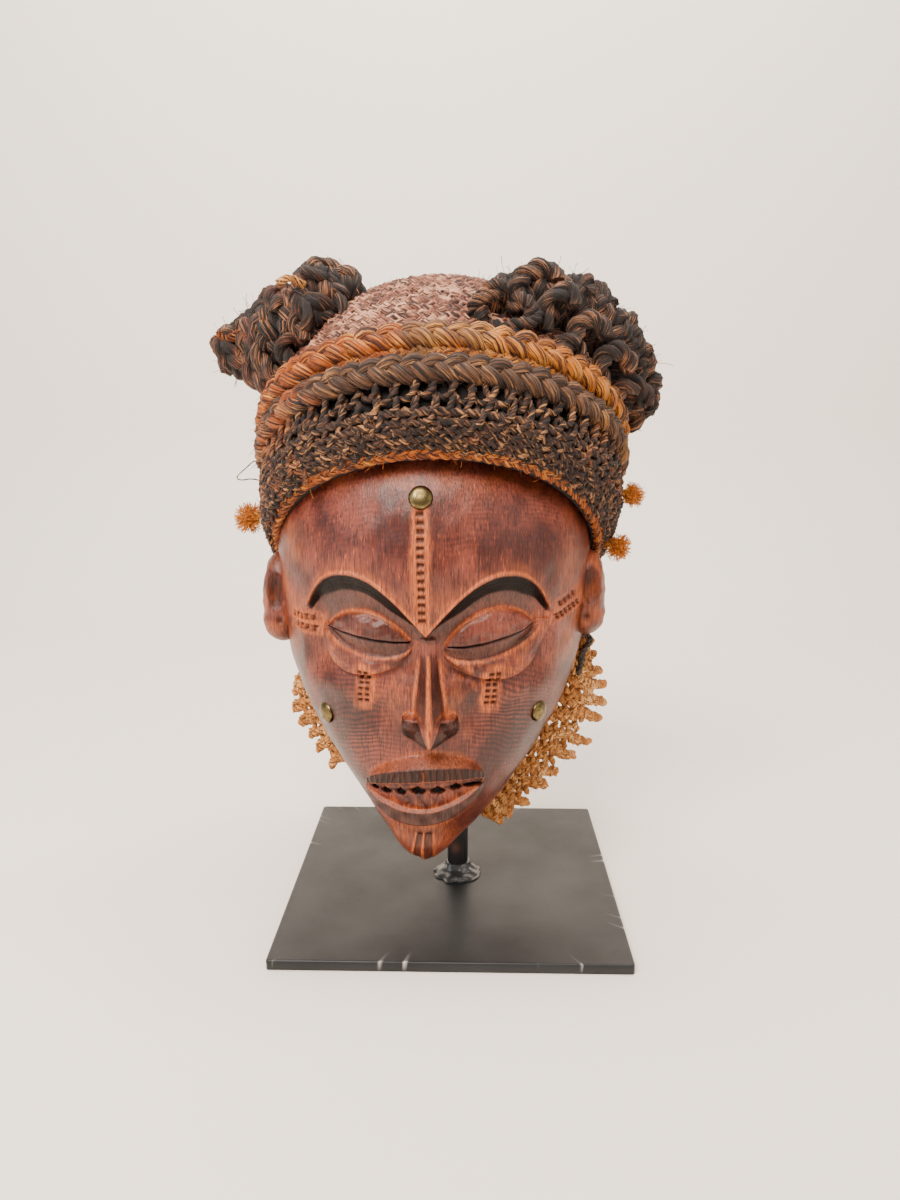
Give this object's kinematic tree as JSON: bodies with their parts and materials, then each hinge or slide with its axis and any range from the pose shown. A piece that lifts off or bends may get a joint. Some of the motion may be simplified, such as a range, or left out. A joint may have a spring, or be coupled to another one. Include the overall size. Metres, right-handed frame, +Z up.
{
  "type": "carved wooden mask on a stand",
  "caption": "Carved wooden face mask with a knotted fibre headdress and net collar, held up on a steel rod and a square foot plate.",
  "frame": {"origin": "centre of the foot plate's underside", "axes": "+Z up, the face looks along -Y, +X is the viewer's right"},
  "size_m": [0.2645, 0.2222, 0.3794],
  "materials": {
    "black_steel": "satin black, worn at the edges",
    "carved_wood": "hand-carved, red-brown, rubbed with orange pigment",
    "brass_tack": "old brass",
    "dark_fibre": "knotted plant fibre, dark",
    "tan_fibre": "plaited plant fibre, tan",
    "orange_fibre": "plaited plant fibre, orange",
    "net_fibre": "knotted golden cord"
  },
  "bodies": {
    "root": {"stand_plate": "black_steel", "stand_post": "black_steel", "wood_face": "carved_wood", "tack_forehead": "brass_tack", "tack_left_cheek": "brass_tack", "tack_right_cheek": "brass_tack", "cap": "dark_fibre", "edge_braid": "orange_fibre", "plait_lower": "tan_fibre", "plait_upper": "orange_fibre", "bun_left": "dark_fibre", "bun_right": "dark_fibre", "net_collar_left": "net_fibre", "net_collar_right": "net_fibre", "tassel_left": "net_fibre", "tassel_right_upper": "net_fibre", "tassel_right_lower": "net_fibre"}
  },
  "joints": []
}
